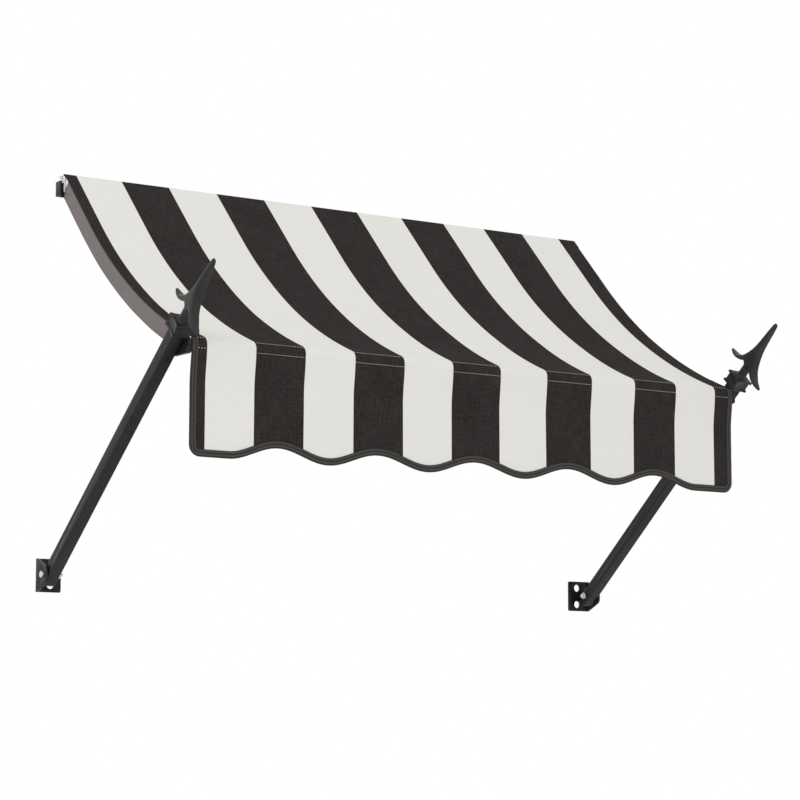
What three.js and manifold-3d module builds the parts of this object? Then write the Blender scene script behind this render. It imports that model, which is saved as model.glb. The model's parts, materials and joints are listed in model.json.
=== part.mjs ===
// A concave spear awning: a striped canopy on a light frame, held out from a wall by two arms.
// Millimetres, +Z up. The wall is the plane Y = 0 and the awning stands out toward -Y. The origin
// is the middle of the head rail's back. Side views are drawn as (out, up): out is the distance
// from the wall.
import * as THREE from "three";
import { mergeVertices } from "three/addons/utils/BufferGeometryUtils.js";
import Module from "manifold-3d";

const wasm = await Module();
wasm.setup();

// ---- driving dimensions ------------------------------------------------------------------
const GAP = 0.4; // air left between neighbours

const CLOTH_HALF = 508; // half the canopy's width
const CLOTH_T = 1.2; // cloth, as a solid
const TOP_OUT = 9.5; // where the cloth comes up out of the head rail
const TOP_UP = 6.2;
const TOP_R = 8; // its turn over the rail
const SLOPE_TOP = 46.6; // degrees below level, upper straight part
const SLOPE_LOW = 21.3; // degrees below level, at the front
const STRAIGHT = 128; // length of the straight part
const SAG_RADIUS = 890; // the hollow of the canopy
const SHOULDER_R = 14; // the cloth's turn over the front bar
const FRONT_OUT = 437; // foremost line of the cloth
const VALANCE_BACK = 5; // the valance hangs this far behind that line
const VALANCE_LOW = -481.8; // lowest line of the waves
const WAVE_RISE = 20; // height of one wave
const VALANCE_CORNER = 16; // rounded lower corners
const FLAP = 27.5; // depth of the side flaps
const FLAP_OUT = 20; // the flaps begin here,
const FLAP_CUT = [[27.6, 0], [8, -40]]; // behind this slanting cut,
const FLAP_END = 390; // and end here

const STRIPES = 11; // full stripes between the two narrow dark edges
const STRIPE_REACH = 495; // the stripes widen a little toward the middle,
const STRIPE_PULL = 17; // where the cloth is stretched most
const STRIPE_SHIFT = -6; // the cloth is cut a little off centre

const BINDING_W = 11; // braid round the valance
const BINDING_T = 1.1; // each side of the cloth
const BINDING_EDGE = 1.6; // past the cloth's edge

const RAIL_HALF = 510;
const HEM_HALF = 505; // the cloth's hem and its cord, in the rail
const RAIL_BOX = { depth: 6, half: 4.8, wall: 1.3 };
const GROOVE = { out: 10.1, up: -1.6, inner: 3.8, outer: 5.2, mouth: 2.6 };
const RAIL_LEG = { out: 13.7, t: 1.6, low: -24 };
const KEDER_R = 3.2; // cord in the cloth's top hem

const RAFTER_W = 18; // square tube
const RAFTER_T = 1.5;
const RAFTER_START = 16; // a plumb cut against the rail's leg
const RAFTER_STOP = 396;

const BAR_HALF = 504;
const BAR_R = 10.5;
const BAR_BORE = 8.5;
const BAR_OUT = FRONT_OUT - SHOULDER_R;
const POCKET_R = 11; // inside of the cloth sleeve round the bar
const POCKET_T = 1.2;

const ARM_X = 526; // middle of each arm
const ARM_W = 20; // square tube
const ARM_T = 1.6;
const ARM_SLOPE = 39.7; // degrees above level
const ARM_TOP = 526; // along the arm, from its lower pin
const ARM_TAIL = 11.5; // centre of the rounded lower end, past the pin
const PIVOT_OUT = 26;
const PIVOT_UP = -632.5;
const UPPER_PIN = 487.5; // along the arm
const COLLAR_LOW = 516;
const COLLAR_HIGH = 538;
const TIP = 656; // point of the finial, along the arm
const STEM_R = 7.5;

const PLATE_T = 3; // wall brackets
const WALL_PLATE_W = 42;
const WALL_PLATE_H = 52;
const WALL_HOLE_R = 6.25;
const WALL_HOLE_PITCH = 29;
const SIDE_DEPTH = 38;
const SCREW_R = 3;
const HOLE_R = 3.35;
const NUT_AF = 10; // across flats
const NUT_T = 5;

const RAD = Math.PI / 180;

// ---- materials ---------------------------------------------------------------------------
const paint = (color, roughness, metalness) =>
  () => new THREE.MeshStandardMaterial({ color, roughness, metalness });
const blackCoat = paint(0x2c2d2e, 0.45, 0.3);
const silver = paint(0xc4c6c8, 0.35, 0.9);
const zinc = paint(0xb9babb, 0.3, 0.9);
const cloth = paint(0xdedcd6, 0.9, 0);
const darkCloth = paint(0x35322f, 0.9, 0);
const braid = paint(0x33332e, 0.85, 0);

// ---- small tools -------------------------------------------------------------------------
const group = new THREE.Group();
group.name = "fabric_awning";

function solid(geometry) {
  const g = geometry.clone();
  g.deleteAttribute("normal");
  g.deleteAttribute("uv");
  const m = mergeVertices(g, 1e-4);
  const index = m.index.array;
  const kept = []; // without the flat triangles that a lathe leaves on its axis
  for (let i = 0; i < index.length; i += 3) {
    const [a, b, c] = [index[i], index[i + 1], index[i + 2]];
    if (a !== b && b !== c && c !== a) kept.push(a, b, c);
  }
  return new wasm.Manifold(new wasm.Mesh({
    numProp: 3,
    vertProperties: new Float32Array(m.attributes.position.array),
    triVerts: new Uint32Array(kept),
  }));
}

function geometryOf(manifold) {
  const mesh = manifold.getMesh();
  const g = new THREE.BufferGeometry();
  g.setAttribute("position", new THREE.BufferAttribute(new Float32Array(mesh.vertProperties), 3));
  g.setIndex(new THREE.BufferAttribute(new Uint32Array(mesh.triVerts), 1));
  g.computeVertexNormals();
  return g;
}

const join = (...parts) => wasm.Manifold.union(parts);

function add(name, manifold, material, matrix) {
  const g = geometryOf(manifold);
  if (matrix) g.applyMatrix4(matrix);
  const mesh = new THREE.Mesh(g, material());
  mesh.name = name;
  group.add(mesh);
}

// A side view (out, up) pushed along X from x0 to x1.
function alongX(shape, x0, x1, curveSegments = 24) {
  const g = new THREE.ExtrudeGeometry(shape, { depth: x1 - x0, bevelEnabled: false, curveSegments });
  g.applyMatrix4(new THREE.Matrix4().set(0, 0, -1, x1, -1, 0, 0, 0, 0, 1, 0, 0, 0, 0, 0, 1));
  return solid(g);
}

// A front view (x, up) pushed out from the wall, from out0 to out1.
function outward(shape, out0, out1, curveSegments = 24) {
  const g = new THREE.ExtrudeGeometry(shape, { depth: out1 - out0, bevelEnabled: false, curveSegments });
  g.applyMatrix4(new THREE.Matrix4().set(1, 0, 0, 0, 0, 0, -1, -out0, 0, 1, 0, 0, 0, 0, 0, 1));
  return solid(g);
}

// The same two views, drawn round a rod that runs along X.
function rodX(radius, out, up, x0, x1, segments = 32) {
  const g = new THREE.CylinderGeometry(radius, radius, x1 - x0, segments);
  g.rotateZ(Math.PI / 2).translate((x0 + x1) / 2, -out, up);
  return solid(g);
}

function hexX(acrossFlats, out, up, x0, x1) {
  return rodX(acrossFlats / Math.sqrt(3), out, up, x0, x1, 6);
}

function polygon(points) {
  return new THREE.Shape(points.map(([a, b]) => new THREE.Vector2(a, b)));
}

function roundRect(x0, y0, x1, y1, r) {
  const s = new THREE.Shape();
  s.moveTo(x0 + r, y0).lineTo(x1 - r, y0);
  s.absarc(x1 - r, y0 + r, r, -Math.PI / 2, 0).absarc(x1 - r, y1 - r, r, 0, Math.PI / 2);
  s.absarc(x0 + r, y1 - r, r, Math.PI / 2, Math.PI).absarc(x0 + r, y0 + r, r, Math.PI, 1.5 * Math.PI);
  return s;
}

const sides = [["left", -1], ["right", 1]];
const span = (side, near, far) => (side < 0 ? [-far, -near] : [near, far]);

// ---- the canopy's side view --------------------------------------------------------------
// Walks down the cloth's outer face: the turn over the rail, a straight slope, a long hollow, a
// short run, the turn over the bar and the valance. Each point carries the cloth's direction.
function clothLine(bottom) {
  const line = [];
  let out = TOP_OUT;
  let up = TOP_UP;
  const put = (degrees) => line.push({ out, up, dir: degrees * RAD });
  const walk = (length, degrees) => {
    out += length * Math.cos(degrees * RAD);
    up -= length * Math.sin(degrees * RAD);
  };
  const bend = (radius, from, to, steps) => {
    const turn = (to - from) / steps;
    for (let i = 0; i < steps; i++) {
      walk(radius * Math.abs(turn) * RAD, from + (i + 0.5) * turn);
      put(from + (i + 1) * turn);
    }
  };
  put(0);
  bend(TOP_R, 0, SLOPE_TOP, 6);
  walk(STRAIGHT, SLOPE_TOP);
  put(SLOPE_TOP);
  bend(SAG_RADIUS, SLOPE_TOP, SLOPE_LOW, 20);
  const barUp = barHeight(out, up);
  const turns = 12;
  for (let i = 0; i <= turns; i++) {
    const degrees = SLOPE_LOW + ((90 - SLOPE_LOW) * i) / turns;
    out = BAR_OUT + SHOULDER_R * Math.sin(degrees * RAD);
    up = barUp + SHOULDER_R * Math.cos(degrees * RAD);
    put(degrees);
  }
  const eases = 8;
  const ease = 60;
  const shoulderUp = up;
  for (let i = 1; i <= eases; i++) {
    const t = i / eases;
    out = FRONT_OUT - VALANCE_BACK * t * t * (3 - 2 * t);
    up = shoulderUp - ease * t;
    put(90 + Math.atan((VALANCE_BACK * 6 * t * (1 - t)) / ease) / RAD);
  }
  up = bottom;
  put(90);
  return line;
}

// Height of the bar's axis that lets the low run touch the turn over the bar.
function barHeight(out, up) {
  const touch = BAR_OUT + SHOULDER_R * Math.sin(SLOPE_LOW * RAD);
  return up - (touch - out) * Math.tan(SLOPE_LOW * RAD) - SHOULDER_R * Math.cos(SLOPE_LOW * RAD);
}

// The line moved square to itself, toward the inside of the awning.
const inset = (line, depth) => line.map(({ out, up, dir }) => [
  out - depth * Math.sin(dir), up - depth * Math.cos(dir)]);

function band(line, from, to) {
  return polygon([...inset(line, from), ...inset(line, to).reverse()]);
}

function cut(line, start, stop) {
  const at = (out) => {
    const i = line.findIndex((q) => q.out >= out);
    const [a, b] = [line[i - 1], line[i]];
    const t = (out - a.out) / (b.out - a.out);
    return { out, up: a.up + t * (b.up - a.up), dir: a.dir + t * (b.dir - a.dir) };
  };
  const inner = line.slice(0, line.findIndex((q) => q.out >= FRONT_OUT - VALANCE_BACK))
    .filter((q) => q.out > start + 1 && q.out < stop - 1);
  return [at(start), ...inner, at(stop)];
}

const valanceFoot = VALANCE_LOW - 10;
const line = clothLine(valanceFoot);
const BAR_UP = line.find((q) => q.dir === 90 * RAD).up;

// ---- the valance's wavy foot -------------------------------------------------------------
// Where stripe edge i lies across the canopy.
function stripeEdge(i) {
  const t = (2 * i) / STRIPES - 1;
  return STRIPE_SHIFT + STRIPE_REACH * t - STRIPE_PULL * t ** 3;
}

// The dark stripes are the odd ones; each wave is highest in the middle of a dark stripe.
function footLine() {
  const points = [];
  const steps = 12;
  for (let k = 0; k <= (STRIPES - 1) * steps; k++) {
    const i = 0.5 + k / steps;
    points.push([stripeEdge(i), VALANCE_LOW + (WAVE_RISE * (1 - Math.cos(Math.PI * (i - 0.5)))) / 2]);
  }
  return points;
}

// The outline of the valance, moved in by `by` from its sides and its foot.
function valanceOutline(by, top) {
  const half = CLOTH_HALF - by;
  const r = VALANCE_CORNER - by;
  const foot = footLine();
  const moved = foot.map(([x, z], k) => {
    const [xa, za] = foot[Math.max(k - 1, 0)];
    const [xb, zb] = foot[Math.min(k + 1, foot.length - 1)];
    const length = Math.hypot(xb - xa, zb - za);
    return [x - (by * (zb - za)) / length, z + (by * (xb - xa)) / length];
  });
  const corner = (cx, from, to) => {
    const steps = 8;
    return Array.from({ length: steps + 1 }, (_, k) => {
      const a = (from + ((to - from) * k) / steps) * RAD;
      return [cx + r * Math.cos(a), VALANCE_LOW + VALANCE_CORNER + r * Math.sin(a)];
    });
  };
  return polygon([
    [-half, top], ...corner(-half + r, 180, 270), ...moved, ...corner(half - r, 270, 360), [half, top],
  ]);
}

// ---- cloth -------------------------------------------------------------------------------
{
  const sheet = alongX(band(line, 0, CLOTH_T), -CLOTH_HALF, CLOTH_HALF);
  const shaped = sheet.intersect(outward(valanceOutline(0, TOP_UP + 10), -50, FRONT_OUT + 50));
  const flapLine = cut(line, FLAP_OUT, FLAP_END);
  const [high, low] = FLAP_CUT;
  const flaps = sides.map(([, s]) => {
    const [a, b] = span(s, CLOTH_HALF - CLOTH_T, CLOTH_HALF);
    const kept = alongX(polygon([high, low, [low[0], -450], [450, -450], [450, high[1]]]), a - 1, b + 1);
    return alongX(band(flapLine, 0, FLAP), a, b).intersect(kept);
  });
  // The top hem goes down into the rail's groove, as far as the cord.
  const hemLow = GROOVE.up + KEDER_R + GAP;
  const hem = alongX(polygon([
    [TOP_OUT, hemLow], [TOP_OUT + CLOTH_T, hemLow], [TOP_OUT + CLOTH_T, TOP_UP - CLOTH_T / 2],
    [TOP_OUT, TOP_UP - CLOTH_T / 2],
  ]), -HEM_HALF, HEM_HALF);
  add("canopy", join(shaped, hem, ...flaps), cloth);
}

{
  // Braid folded over the valance's edge: one face in front of the cloth, one behind, joined
  // past the edge. It follows the cloth's own side view.
  const start = BAR_UP + 8;
  const outer = outward(valanceOutline(-BINDING_EDGE, start), -50, FRONT_OUT + 50);
  const within = outward(valanceOutline(BINDING_W - BINDING_EDGE, start + 5), -50, FRONT_OUT + 50);
  const slotEdge = outward(valanceOutline(-GAP, start + 5), -50, FRONT_OUT + 50);
  const reach = CLOTH_HALF + 5;
  const thick = alongX(band(line, -GAP - BINDING_T, CLOTH_T + GAP + BINDING_T), -reach, reach);
  const slot = alongX(band(line, -GAP, CLOTH_T + GAP), -reach, reach).intersect(slotEdge);
  const braidFold = thick.intersect(outer).subtract(within).subtract(slot);
  const clearOfBar = rodX(POCKET_R + POCKET_T + GAP, BAR_OUT, BAR_UP, -reach, reach, 64);
  add("valance_binding", braidFold.subtract(clearOfBar), braid);
}

{
  // The sleeve that holds the front bar: a strip round the bar, sewn to the back of the cloth
  // along two seams, so it is open toward the front between them.
  const r0 = POCKET_R;
  const r1 = POCKET_R + POCKET_T;
  const seam = 34 * RAD;
  const s = new THREE.Shape();
  s.absarc(BAR_OUT, BAR_UP, r1, seam, 2 * Math.PI - seam, false);
  s.absarc(BAR_OUT, BAR_UP, r0, 2 * Math.PI - seam, seam, true);
  s.closePath();
  add("bar_pocket", alongX(s, -BAR_HALF + 8, BAR_HALF - 8, 48), darkCloth);
}

// ---- head rail ---------------------------------------------------------------------------
{
  // One extrusion: a flat box on the wall, a round groove for the cloth's cord, open at its top
  // where the cloth comes out, and a thin leg down the inside of the cloth.
  const { depth, half, wall } = RAIL_BOX;
  const long = RAIL_HALF + 1;
  const box = alongX(roundRect(0, -half, depth, half, 0.8), -RAIL_HALF, RAIL_HALF, 3)
    .subtract(alongX(roundRect(wall, -half + wall, depth - wall, half - wall, 0.4), -long, long, 3));
  const tube = rodX(GROOVE.outer, GROOVE.out, GROOVE.up, -RAIL_HALF, RAIL_HALF);
  const bore = rodX(GROOVE.inner, GROOVE.out, GROOVE.up, -long, long);
  const open = GROOVE.mouth / 2;
  const mouth = alongX(
    roundRect(GROOVE.out - open, GROOVE.up, GROOVE.out + open, TOP_UP + 5, 0.1), -long, long, 1);
  const leg = alongX(roundRect(RAIL_LEG.out, RAIL_LEG.low, RAIL_LEG.out + RAIL_LEG.t, GROOVE.up, 0.4),
    -RAIL_HALF, RAIL_HALF, 3);
  add("head_rail", join(box, tube, leg).subtract(bore).subtract(mouth), silver);
  add("keder_cord", rodX(KEDER_R, GROOVE.out, GROOVE.up, -HEM_HALF, HEM_HALF, 24), cloth);
}

// ---- front bar ---------------------------------------------------------------------------
add("front_bar", rodX(BAR_R, BAR_OUT, BAR_UP, -BAR_HALF, BAR_HALF, 40)
  .subtract(rodX(BAR_BORE, BAR_OUT, BAR_UP, -BAR_HALF - 1, BAR_HALF + 1, 40)), silver);

// ---- one arm's own frame: x across, y square to the arm, z along it from the lower pin ----
function armFrame(side) {
  const a = ARM_SLOPE * RAD;
  return new THREE.Matrix4().makeBasis(
    new THREE.Vector3(1, 0, 0),
    new THREE.Vector3(0, Math.sin(a), Math.cos(a)),
    new THREE.Vector3(0, -Math.cos(a), Math.sin(a)),
  ).setPosition(side * ARM_X, -PIVOT_OUT, PIVOT_UP);
}

const onArm = (along) => ({
  out: PIVOT_OUT + along * Math.cos(ARM_SLOPE * RAD),
  up: PIVOT_UP + along * Math.sin(ARM_SLOPE * RAD),
});

function prismZ(shape, z0, z1, curveSegments = 12) {
  const g = new THREE.ExtrudeGeometry(shape, { depth: z1 - z0, bevelEnabled: false, curveSegments });
  return solid(g.translate(0, 0, z0));
}

function armTube(side) {
  const h = ARM_W / 2;
  const bar = prismZ(roundRect(-h, -h, h, h, 2), -ARM_TAIL - h, ARM_TOP, 4);
  const end = new THREE.Shape();
  end.moveTo(h + 1, ARM_TOP + 1).lineTo(-h - 1, ARM_TOP + 1).lineTo(-h - 1, 0).lineTo(-h, 0);
  end.lineTo(-h, -ARM_TAIL).absarc(0, -ARM_TAIL, h, Math.PI, 2 * Math.PI).lineTo(h, 0).lineTo(h + 1, 0);
  end.closePath();
  const rounded = bar.intersect(alongX(end, -h - 1, h + 1, 16));
  const i = h - ARM_T;
  const hollow = prismZ(roundRect(-i, -i, i, i, 0.8), -ARM_TAIL, ARM_TOP + 1, 2);
  const pin = rodX(HOLE_R, 0, 0, -h - 1, h + 1, 20);
  const [x0, x1] = side < 0 ? [0, h + 1] : [-h - 1, 0];
  const upper = solid(new THREE.CylinderGeometry(HOLE_R, HOLE_R, x1 - x0, 20)
    .rotateZ(Math.PI / 2).translate((x0 + x1) / 2, 0, UPPER_PIN));
  return rounded.subtract(hollow).subtract(pin).subtract(upper);
}

// A square whose sides are drawn in, so that its corners stand out as points.
function pointedSquare(half, waist) {
  const s = new THREE.Shape();
  s.moveTo(half, half);
  for (const [x, y, mx, my] of [[-1, 1, 0, 1], [-1, -1, -1, 0], [1, -1, 0, -1], [1, 1, 1, 0]]) {
    const pull = 2 * waist - half;
    s.quadraticCurveTo(mx * pull, my * pull, x * half, y * half);
  }
  return s;
}

function collar() {
  const rim = 4;
  const low = prismZ(pointedSquare(15.2, 13), COLLAR_LOW, COLLAR_LOW + rim);
  const high = prismZ(pointedSquare(15.6, 13.2), COLLAR_HIGH - rim, COLLAR_HIGH);
  const middle = prismZ(pointedSquare(13.2, 12.2), COLLAR_LOW + 1, COLLAR_HIGH - 1);
  const h = ARM_W / 2 + GAP;
  const socket = prismZ(roundRect(-h, -h, h, h, 2), COLLAR_LOW - 1, ARM_TOP + GAP, 4);
  const hole = solid(new THREE.CylinderGeometry(STEM_R + GAP, STEM_R + GAP, 30, 40)
    .rotateX(Math.PI / 2).translate(0, 0, COLLAR_HIGH - 3));
  const cup = solid(new THREE.CylinderGeometry(12, STEM_R + GAP, 4, 40)
    .rotateX(Math.PI / 2).translate(0, 0, COLLAR_HIGH - 1.9));
  return join(low, high, middle).subtract(socket).subtract(hole).subtract(cup);
}

// The finial in its own side view, as (from its axis, behind its tip): a blade that opens into two
// swept petals, on a round stem. Blade and petals are broad across this view.
function finial() {
  const at = (behindTip) => TIP - behindTip;
  const s = new THREE.Shape();
  const half = [
    [1.4, 0], [3, 1.2], [3.5, 5], [3.3, 20], [3.4, 32], [4, 43], [5.4, 55], [8.4, 66], [12.2, 75.6],
    [16.8, 84.5], [23.5, 92], [32.7, 97.3], [42, 99.3], [48.6, 99.8], [50.2, 101], [49.6, 103], [42, 103.6],
    [33, 102.6], [25, 100], [16, 95.6], [7, 90],
  ];
  s.setFromPoints([...half, ...half.map(([n, b]) => [-n, b]).reverse()]
    .map(([n, behind]) => new THREE.Vector2(n, at(behind))));
  const core = alongX(s, -8, 8);
  const broad = outward(polygon([
    [-2, at(-1)], [2, at(-1)], [5.2, at(20)], [6.6, at(36)], [7.3, at(55)], [7.3, at(110)],
    [-7.3, at(110)], [-7.3, at(55)], [-6.6, at(36)], [-5.2, at(20)],
  ]), -60, 60);
  const narrowed = prismZ(polygon([
    [7.4, -26], [7.4, 26], [5, 40], [2, 52], [-2, 52], [-5, 40], [-7.4, 26],
    [-7.4, -26], [-5, -40], [-2, -52], [2, -52], [5, -40],
  ]), at(110), at(-2));
  const stemFoot = ARM_TOP + 2 * GAP;
  const points = [[0, stemFoot], [STEM_R, stemFoot], [STEM_R, at(94)], [7, at(82)], [0, at(50)]];
  const stem = new THREE.LatheGeometry(points.map(([r, z]) => new THREE.Vector2(r, z)), 32);
  stem.rotateX(Math.PI / 2);
  return join(core.intersect(broad).intersect(narrowed), solid(stem));
}

// ---- brackets ----------------------------------------------------------------------------
const sideInner = ARM_X + ARM_W / 2 + GAP + 0.2; // inner face of the side plate
const sideOuter = sideInner + PLATE_T;

function lowerBracket(side) {
  const top = PIVOT_UP + WALL_PLATE_H / 2;
  const foot = PIVOT_UP - WALL_PLATE_H / 2;
  const slope = 15;
  const cheek = new THREE.Shape();
  cheek.moveTo(0, foot).lineTo(6, foot).lineTo(SIDE_DEPTH - 6, foot + slope - 3);
  cheek.quadraticCurveTo(SIDE_DEPTH, foot + slope, SIDE_DEPTH, foot + slope + 6);
  cheek.lineTo(SIDE_DEPTH, top - slope - 6);
  cheek.quadraticCurveTo(SIDE_DEPTH, top - slope, SIDE_DEPTH - 6, top - slope + 3);
  cheek.lineTo(6, top).lineTo(0, top);
  const [a, b] = span(side, sideInner, sideOuter);
  const [c, d] = span(side, sideOuter - WALL_PLATE_W, sideOuter);
  const plate = roundRect(c, foot, d, top, 3);
  const holeX = side * (sideOuter - 24);
  const holes = [-1, 1].map((k) => {
    const hole = new THREE.CylinderGeometry(WALL_HOLE_R, WALL_HOLE_R, PLATE_T + 2, 32);
    return solid(hole.translate(holeX, -PLATE_T / 2, PIVOT_UP + (k * WALL_HOLE_PITCH) / 2));
  });
  return join(alongX(cheek, a, b, 6), outward(plate, 0, PLATE_T, 6))
    .subtract(join(...holes))
    .subtract(rodX(HOLE_R, PIVOT_OUT, PIVOT_UP, a - 1, b + 1, 24));
}

const topOuter = CLOTH_HALF + 8.6;
const TOP_PLATE = { low: -30, high: -6.4, depth: 16.5, width: 47, t: 3 };

// An angle plate under the head rail: one leaf on the wall, one along the rafter's outer side.
function topBracket(side) {
  const { low, high, depth, width, t } = TOP_PLATE;
  const [a, b] = span(side, topOuter - t, topOuter);
  const [c, d] = span(side, topOuter - width, topOuter);
  const leaf = outward(roundRect(c, low, d, high, 1.2), 0, t, 6);
  const cheek = alongX(roundRect(0, low, depth, high, 2), a, b, 6);
  const hole = new THREE.CylinderGeometry(3.5, 3.5, t + 2, 24);
  const holeSolid = solid(hole.translate(side * (topOuter - 20), -t / 2, (low + high) / 2));
  return join(leaf, cheek).subtract(holeSolid);
}

// The plate on the end of the front bar: a plug in the bar and an ear bolted to the arm.
const earInner = CLOTH_HALF + BINDING_EDGE + 0.5;
const earOuter = ARM_X - ARM_W / 2 - 0.6;

function endBracket(side) {
  const pin = onArm(UPPER_PIN);
  const ear = roundRect(pin.out - 11, BAR_UP - 14, BAR_OUT + 14, BAR_UP + 12, 4);
  const [a, b] = span(side, earInner, earOuter);
  const [c, d] = span(side, BAR_HALF - 26, earInner + 1);
  const underCollar = prismZ(roundRect(-17, -17, 17, 17, 1), COLLAR_LOW - GAP, COLLAR_HIGH + 8)
    .transform(armFrame(side).elements);
  return join(alongX(ear, a, b, 8), rodX(BAR_BORE - GAP, BAR_OUT, BAR_UP, c, d))
    .subtract(underCollar)
    .subtract(rodX(HOLE_R, pin.out, pin.up, a - 1, b + 1, 24));
}

// ---- everything that comes in a left and a right one -------------------------------------
for (const [name, side] of sides) {
  const frame = armFrame(side);

  const rafterLine = cut(line, RAFTER_START + 1, RAFTER_STOP);
  const top = CLOTH_T + 0.6;
  const far = CLOTH_HALF - CLOTH_T - 0.6;
  const [r0, r1] = span(side, far - RAFTER_W, far);
  const outerTube = alongX(band(rafterLine, top, top + RAFTER_W), r0, r1);
  const longer = cut(line, RAFTER_START, RAFTER_STOP + 3);
  const innerTube = alongX(
    band(longer, top + RAFTER_T, top + RAFTER_W - RAFTER_T), r0 + RAFTER_T, r1 - RAFTER_T);
  const plumb = alongX(
    polygon([[RAFTER_START, -80], [450, -400], [450, 60], [RAFTER_START, 60]]), r0 - 1, r1 + 1);
  const groove = rodX(GROOVE.outer + GAP, GROOVE.out, GROOVE.up, r0 - 1, r1 + 1);
  add(`${name}_rafter`, outerTube.subtract(innerTube).intersect(plumb).subtract(groove), silver);

  add(`${name}_top_bracket`, topBracket(side), blackCoat);
  add(`${name}_end_bracket`, endBracket(side), blackCoat);
  add(`${name}_arm`, armTube(side), blackCoat, frame);
  add(`${name}_collar`, collar(), blackCoat, frame);
  add(`${name}_finial`, finial(), blackCoat, frame);
  add(`${name}_lower_bracket`, lowerBracket(side), blackCoat);

  // Lower pin: the head sits outside the side plate, the nut on the arm's inner face.
  const headOut = sideOuter + 0.3;
  const armIn = ARM_X - ARM_W / 2;
  const nutIn = armIn - 0.3 - NUT_T;
  const [h0, h1] = span(side, headOut, headOut + 4);
  const [s0, s1] = span(side, nutIn - 3.5, headOut + 1);
  const [n0, n1] = span(side, nutIn, armIn - 0.3);
  add(`${name}_pivot_bolt`, join(
    hexX(NUT_AF, PIVOT_OUT, PIVOT_UP, h0, h1), rodX(SCREW_R, PIVOT_OUT, PIVOT_UP, s0, s1, 20)), zinc);
  add(`${name}_pivot_nut`, hexX(NUT_AF, PIVOT_OUT, PIVOT_UP, n0, n1)
    .subtract(rodX(HOLE_R, PIVOT_OUT, PIVOT_UP, n0 - 1, n1 + 1, 20)), zinc);

  // Upper pin: the head sits inside the end plate, the nut inside the arm's tube.
  const pin = onArm(UPPER_PIN);
  const nutStart = armIn + ARM_T + 0.3;
  const [u0, u1] = span(side, earInner - 0.3 - 3, earInner - 0.3);
  const [v0, v1] = span(side, earInner - 1, nutStart + 4.4);
  const [w0, w1] = span(side, nutStart, nutStart + 4);
  add(`${name}_upper_bolt`, join(
    hexX(9, pin.out, pin.up, u0, u1), rodX(SCREW_R, pin.out, pin.up, v0, v1, 20)), zinc);
  add(`${name}_upper_nut`, hexX(NUT_AF, pin.out, pin.up, w0, w1)
    .subtract(rodX(HOLE_R, pin.out, pin.up, w0 - 1, w1 + 1, 20)), zinc);
}

export default group;
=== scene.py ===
# %% [markdown]
# # A striped fabric awning
# A hollow, striped canopy hangs from a head rail on a wall, passes over a front bar and ends in
# a wavy valance. Two square arms with pointed finials hold the bar out from the wall.
# The frame comes from the CAD model. This lesson puts the real surfaces on it: cloth, braid,
# thread, black coated metal and bare aluminium. All lengths are metres, +Z is up, the wall is the
# plane Y = 0 and the awning stands out toward -Y.

# %% Load the frame
import json
import math

import bmesh
import bpy
import numpy as np
from mathutils import Matrix, Vector, noise
from mathutils.geometry import delaunay_2d_cdt


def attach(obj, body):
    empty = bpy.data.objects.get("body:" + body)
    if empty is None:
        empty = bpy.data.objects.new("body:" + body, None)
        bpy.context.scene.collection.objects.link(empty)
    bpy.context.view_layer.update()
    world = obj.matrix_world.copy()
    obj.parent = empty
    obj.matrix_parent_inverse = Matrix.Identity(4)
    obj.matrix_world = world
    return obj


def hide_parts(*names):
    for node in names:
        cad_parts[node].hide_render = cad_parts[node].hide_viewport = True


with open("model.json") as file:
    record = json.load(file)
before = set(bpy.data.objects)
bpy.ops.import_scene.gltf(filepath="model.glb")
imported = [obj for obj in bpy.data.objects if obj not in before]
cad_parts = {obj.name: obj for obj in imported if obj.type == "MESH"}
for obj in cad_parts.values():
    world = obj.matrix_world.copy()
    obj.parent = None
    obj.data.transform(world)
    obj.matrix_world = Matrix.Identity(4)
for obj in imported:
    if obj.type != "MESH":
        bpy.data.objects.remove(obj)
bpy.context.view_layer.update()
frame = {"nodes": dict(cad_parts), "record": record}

slots = {part["node"]: part["material_slot"] for part in frame["record"]["subparts"]}

# %% [markdown]
# ## Camera, light and floor
# The awning is looked at from its left front, from a little below. A long lens keeps its far end
# nearly as large as the near one. The lens is not shifted, so that every other view stays centred.

# %% Camera
CAMERA_AT = (-2.351, -3.752, -0.8985)
CAMERA_TURN = 33.589  # degrees to the right of +Y
CAMERA_TILT = 7.467  # degrees above level
LENS = 119.38  # millimetres, on a 36 mm sensor

camera = bpy.data.objects.new("camera", bpy.data.cameras.new("camera"))
camera.data.lens = LENS
camera.data.sensor_width = 36
camera.location = CAMERA_AT
camera.rotation_euler = (math.radians(90 + CAMERA_TILT), 0, math.radians(-CAMERA_TURN))
bpy.context.collection.objects.link(camera)
bpy.context.scene.camera = camera
print("camera at", CAMERA_AT, "with a", LENS, "mm lens")

# %% [markdown]
# Black cloth, white cloth and black metal only show their form in wide, soft light. A bright
# world does most of the work, as a white studio does. One large lamp from the left makes the
# side flap and the outer faces of the arms lighter, and a weaker one fills the front.

# %% World and lamps
WORLD_LIGHT = 1.0


def aim(thing, target):
    thing.rotation_euler = (Vector(target) - thing.location).to_track_quat("-Z", "Y").to_euler()


def lamp(name, at, target, size, watts):
    light = bpy.data.lights.new(name, "AREA")
    light.size, light.energy = size, watts
    thing = bpy.data.objects.new(name, light)
    thing.location = at
    aim(thing, target)
    bpy.context.collection.objects.link(thing)


world = bpy.data.worlds.new("white_studio")
world.use_nodes = True
background = world.node_tree.nodes["Background"]
background.inputs["Color"].default_value = (1, 1, 1, 1)
background.inputs["Strength"].default_value = WORLD_LIGHT
bpy.context.scene.world = world
bpy.context.scene.view_settings.view_transform = "Standard"

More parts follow.
